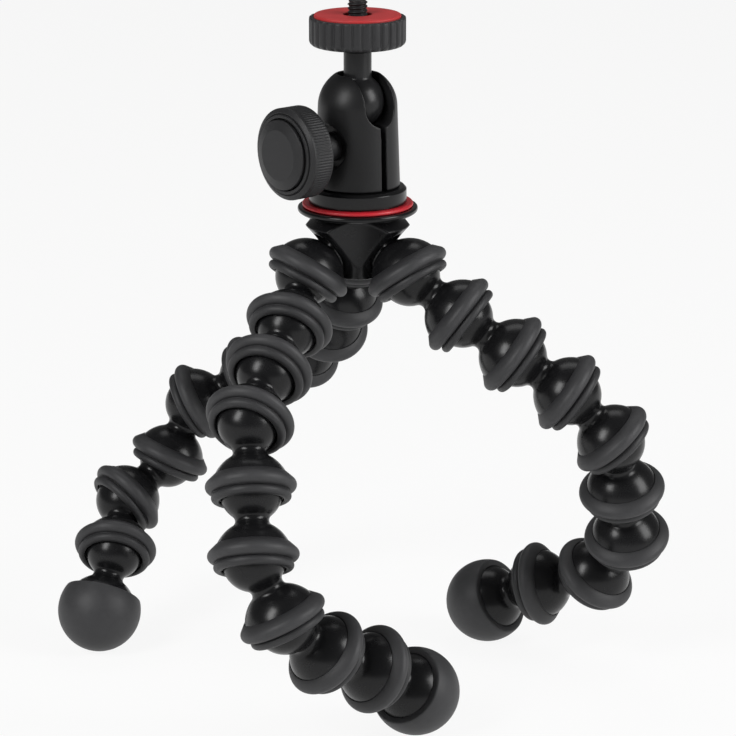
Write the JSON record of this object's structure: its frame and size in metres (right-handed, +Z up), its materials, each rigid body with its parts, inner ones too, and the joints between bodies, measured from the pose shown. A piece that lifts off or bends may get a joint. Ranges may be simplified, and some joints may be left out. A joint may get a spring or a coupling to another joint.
{
  "type": "flexible leg tripod",
  "caption": "Small camera tripod with bendable ball-and-socket legs, rubber grip rings, rubber feet and a clamp ball head with a camera screw.",
  "frame": {"origin": "on the floor under the middle of the footprint", "axes": "+Z up, along the camera screw; the picture looks along +Y with +X to the right"},
  "size_m": [0.2049, 0.1804, 0.2263],
  "materials": {
    "black_plastic": "moulded, semi-gloss black",
    "grip_rubber": "matte dark grey",
    "black_metal": "black coated, satin",
    "satin_plastic": "satin black",
    "red_ring": "satin red",
    "red_pad": "matte red",
    "black_steel": "blackened",
    "steel": "plain"
  },
  "bodies": {
    "base": {"hub": "black_plastic", "flange": "black_plastic", "colour_ring": "red_ring", "hub_bolt": "steel", "socket_front": "black_plastic", "socket_right": "black_plastic", "socket_back": "black_plastic", "socket_ring_front": "grip_rubber", "socket_ring_right": "grip_rubber", "socket_ring_back": "grip_rubber", "pan_base": "black_metal", "pan_washer": "steel", "pan_screw": "steel"},
    "head": {"housing": "black_metal"},
    "ball": {"ball_stud": "black_metal", "camera_screw": "black_steel"},
    "wheel": {"lock_wheel": "satin_plastic", "camera_pad": "red_pad"},
    "knob": {"clamp_knob": "satin_plastic", "knob_cap": "satin_plastic", "clamp_screw": "steel"},
    "front_1": {"front_link_1": "black_plastic"},
    "front_2": {"front_link_2": "black_plastic"},
    "front_3": {"front_link_3": "black_plastic"},
    "front_4": {"front_link_4": "black_plastic"},
    "front_5": {"front_link_5": "black_plastic"},
    "front_6": {"front_link_6": "black_plastic"},
    "front_7": {"front_link_7": "black_plastic"},
    "front_8": {"front_link_8": "black_plastic"},
    "front_end": {"front_foot": "black_plastic", "front_foot_cap": "grip_rubber"},
    "right_1": {"right_link_1": "black_plastic"},
    "right_2": {"right_link_2": "black_plastic"},
    "right_3": {"right_link_3": "black_plastic"},
    "right_4": {"right_link_4": "black_plastic"},
    "right_5": {"right_link_5": "black_plastic"},
    "right_6": {"right_link_6": "black_plastic"},
    "right_7": {"right_link_7": "black_plastic"},
    "right_8": {"right_link_8": "black_plastic"},
    "right_end": {"right_foot": "black_plastic", "right_foot_cap": "grip_rubber"},
    "back_1": {"back_link_1": "black_plastic"},
    "back_2": {"back_link_2": "black_plastic"},
    "back_3": {"back_link_3": "black_plastic"},
    "back_4": {"back_link_4": "black_plastic"},
    "back_5": {"back_link_5": "black_plastic"},
    "back_6": {"back_link_6": "black_plastic"},
    "back_7": {"back_link_7": "black_plastic"},
    "back_8": {"back_link_8": "black_plastic"},
    "back_end": {"back_foot": "black_plastic", "back_foot_cap": "grip_rubber"}
  },
  "joints": [
    {"name": "head_pan", "type": "hinge", "parent": "base", "child": "head", "pos_m": [-0.00053, 0.01086, 0.16133], "axis": [0, 0, 1], "continuous": true},
    {"name": "ball_tilt", "type": "hinge", "parent": "head", "child": "ball", "pos_m": [-0.00053, 0.01086, 0.19393], "axis": [0.766, 0.6428, 0], "range_deg": [-8, 90]},
    {"name": "wheel_turn", "type": "hinge", "parent": "ball", "child": "wheel", "pos_m": [-0.00053, 0.01086, 0.22173], "axis": [0, 0, 1], "continuous": true},
    {"name": "knob_turn", "type": "hinge", "parent": "head", "child": "knob", "pos_m": [-0.00053, 0.01086, 0.18053], "axis": [-0.766, -0.6428, 0], "range_deg": [-180, 180]},
    {"name": "front_bend_1", "type": "hinge", "parent": "base", "child": "front_1", "pos_m": [-0.01716, 0.00126, 0.13893], "axis": [-0.821, -0.1507, 0.5506], "range_deg": [-65, 5]},
    {"name": "front_bend_2", "type": "hinge", "parent": "front_1", "child": "front_2", "pos_m": [-0.02246, -0.01546, 0.12646], "axis": [-0.9367, 0.3441, -0.064], "range_deg": [-25, 30]},
    {"name": "front_bend_3", "type": "hinge", "parent": "front_2", "child": "front_3", "pos_m": [-0.0285, -0.03372, 0.11679], "axis": [0.959, -0.2835, 0], "range_deg": [-30, 30]},
    {"name": "front_bend_4", "type": "hinge", "parent": "front_3", "child": "front_4", "pos_m": [-0.03378, -0.05156, 0.10597], "axis": [0.8378, -0.442, 0.3205], "range_deg": [-70, 5]},
    {"name": "front_bend_5", "type": "hinge", "parent": "front_4", "child": "front_5", "pos_m": [-0.03282, -0.06297, 0.08774], "axis": [-0.9962, -0.0868, 0], "range_deg": [-30, 30]},
    {"name": "front_bend_6", "type": "hinge", "parent": "front_5", "child": "front_6", "pos_m": [-0.03186, -0.07406, 0.06931], "axis": [0.6808, -0.6113, 0.4035], "range_deg": [-70, 5]},
    {"name": "front_bend_7", "type": "hinge", "parent": "front_6", "child": "front_7", "pos_m": [-0.02247, -0.07631, 0.05007], "axis": [0.7835, -0.4446, 0.4341], "range_deg": [-75, 0]},
    {"name": "front_bend_8", "type": "hinge", "parent": "front_7", "child": "front_8", "pos_m": [-0.00928, -0.06687, 0.03592], "axis": [-0.6774, 0.7198, -0.1516], "range_deg": [-25, 50]},
    {"name": "front_bend_9", "type": "hinge", "parent": "front_8", "child": "front_end", "pos_m": [0.00569, -0.05483, 0.0262], "axis": [-0.2485, 0.7765, 0.579], "range_deg": [-50, 25]},
    {"name": "right_bend_1", "type": "hinge", "parent": "base", "child": "right_1", "pos_m": [0.01609, 0.00126, 0.13893], "axis": [0.0734, -0.9266, 0.3689], "range_deg": [-55, 15]},
    {"name": "right_bend_2", "type": "hinge", "parent": "right_1", "child": "right_2", "pos_m": [0.03302, -0.00247, 0.12617], "axis": [0.0861, 0.9963, 0], "range_deg": [-30, 30]},
    {"name": "right_bend_3", "type": "hinge", "parent": "right_2", "child": "right_3", "pos_m": [0.05039, -0.00398, 0.11355], "axis": [-0.0851, -0.9964, 0], "range_deg": [-30, 30]},
    {"name": "right_bend_4", "type": "hinge", "parent": "right_3", "child": "right_4", "pos_m": [0.06798, -0.00548, 0.10124], "axis": [0.257, 0.9326, 0.2533], "range_deg": [-50, 25]},
    {"name": "right_bend_5", "type": "hinge", "parent": "right_4", "child": "right_5", "pos_m": [0.08238, -0.0051, 0.08524], "axis": [0.4151, 0.8205, 0.393], "range_deg": [-75, 0]},
    {"name": "right_bend_6", "type": "hinge", "parent": "right_5", "child": "right_6", "pos_m": [0.08587, 0.00261, 0.06545], "axis": [0.9616, -0.2744, 0], "range_deg": [-30, 30]},
    {"name": "right_bend_7", "type": "hinge", "parent": "right_6", "child": "right_7", "pos_m": [0.08857, 0.01205, 0.04629], "axis": [0.0958, 0.8876, 0.4506], "range_deg": [-75, 0]},
    {"name": "right_bend_8", "type": "hinge", "parent": "right_7", "child": "right_8", "pos_m": [0.07831, 0.02148, 0.02989], "axis": [-0.3156, -0.8943, -0.3171], "range_deg": [0, 75]},
    {"name": "right_bend_9", "type": "hinge", "parent": "right_8", "child": "right_end", "pos_m": [0.05961, 0.03024, 0.02381], "axis": [-0.1885, -0.799, -0.5711], "range_deg": [-50, 25]},
    {"name": "back_bend_1", "type": "hinge", "parent": "base", "child": "back_1", "pos_m": [-0.00053, 0.03006, 0.13893], "axis": [-0.2286, 0.7975, 0.5584], "range_deg": [-55, 20]},
    {"name": "back_bend_2", "type": "hinge", "parent": "back_1", "child": "back_2", "pos_m": [-0.0063, 0.04083, 0.1212], "axis": [0.9609, 0.0758, -0.2662], "range_deg": [-55, 20]},
    {"name": "back_bend_3", "type": "hinge", "parent": "back_2", "child": "back_3", "pos_m": [-0.01141, 0.05631, 0.10715], "axis": [-0.0204, -0.6756, -0.737], "range_deg": [-25, 50]},
    {"name": "back_bend_4", "type": "hinge", "parent": "back_3", "child": "back_4", "pos_m": [-0.02081, 0.07071, 0.09421], "axis": [-0.3061, 0.5179, 0.7988], "range_deg": [-75, 0]},
    {"name": "back_bend_5", "type": "hinge", "parent": "back_4", "child": "back_5", "pos_m": [-0.03916, 0.07555, 0.08404], "axis": [-0.4649, 0.0887, 0.8809], "range_deg": [-50, 25]},
    {"name": "back_bend_6", "type": "hinge", "parent": "back_5", "child": "back_6", "pos_m": [-0.05815, 0.07631, 0.07394], "axis": [-0.1915, -0.9376, 0.2904], "range_deg": [-75, 0]},
    {"name": "back_bend_7", "type": "hinge", "parent": "back_6", "child": "back_7", "pos_m": [-0.06708, 0.0722, 0.05479], "axis": [-0.6571, 0.7392, 0.1479], "range_deg": [-70, 5]},
    {"name": "back_bend_8", "type": "hinge", "parent": "back_7", "child": "back_8", "pos_m": [-0.08177, 0.06144, 0.04331], "axis": [-0.2281, -0.5474, 0.8052], "range_deg": [-75, 0]},
    {"name": "back_bend_9", "type": "hinge", "parent": "back_8", "child": "back_end", "pos_m": [-0.08396, 0.04402, 0.03086], "axis": [0.9234, 0.1393, -0.3576], "range_deg": [-55, 20]}
  ]
}
